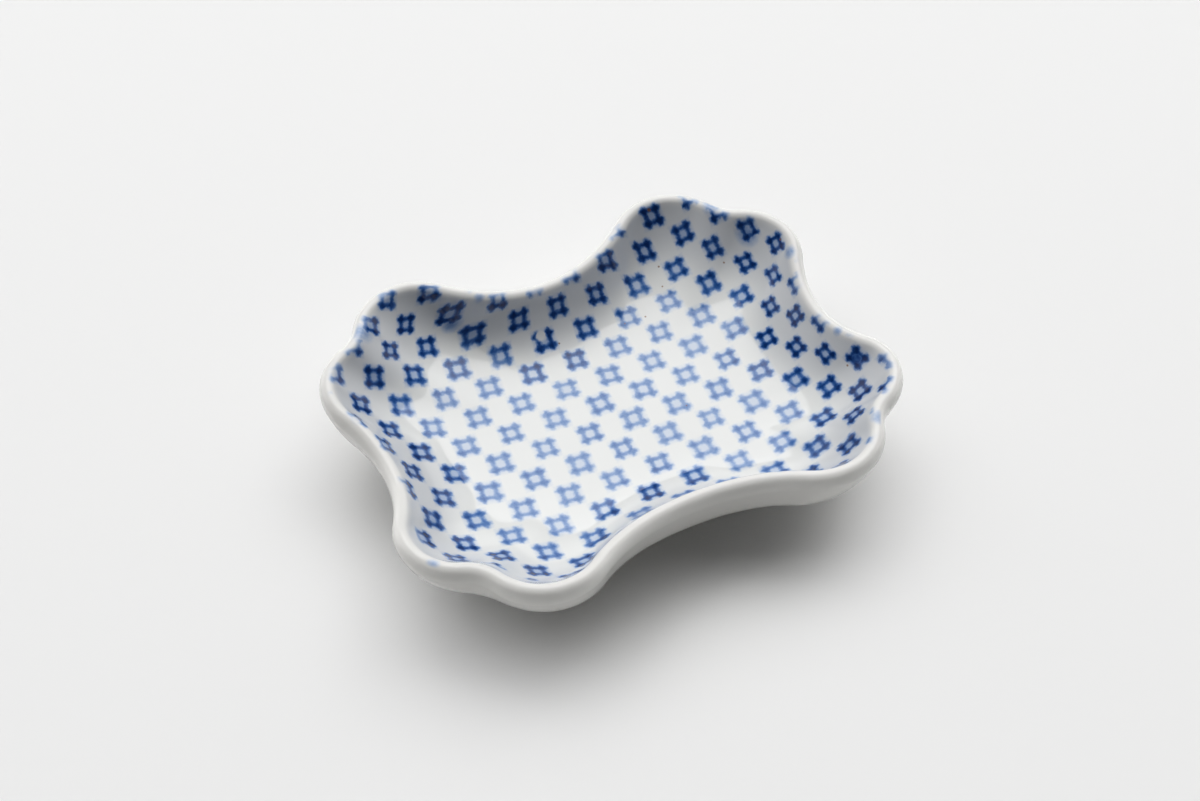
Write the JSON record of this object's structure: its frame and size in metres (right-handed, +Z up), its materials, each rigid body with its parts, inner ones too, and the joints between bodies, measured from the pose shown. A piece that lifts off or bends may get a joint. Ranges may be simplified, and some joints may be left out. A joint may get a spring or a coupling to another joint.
{
  "type": "condiment dish",
  "caption": "Small porcelain condiment dish with drawn-in sides, notched lobed corners and a wavy rounded rim, on an oval foot ring, for sauces, salt or pickles.",
  "frame": {"origin": "on the table, under the middle of the oval foot", "axes": "+X along the dish, +Y across it, +Z up out of the bowl"},
  "size_m": [0.0952, 0.0758, 0.0208],
  "materials": {
    "porcelain": "fired white porcelain, hidden under the glaze",
    "bare_porcelain": "unglazed, faintly toasted at the foot's edge",
    "printed_glaze": "clear gloss glaze over white, with a cobalt-blue well-crib print inside",
    "base_glaze": "clear gloss glaze over white"
  },
  "bodies": {
    "root": {"porcelain_body": "porcelain", "foot_ring": "bare_porcelain", "glaze_coat": "printed_glaze", "base_glaze": "base_glaze"}
  },
  "joints": []
}
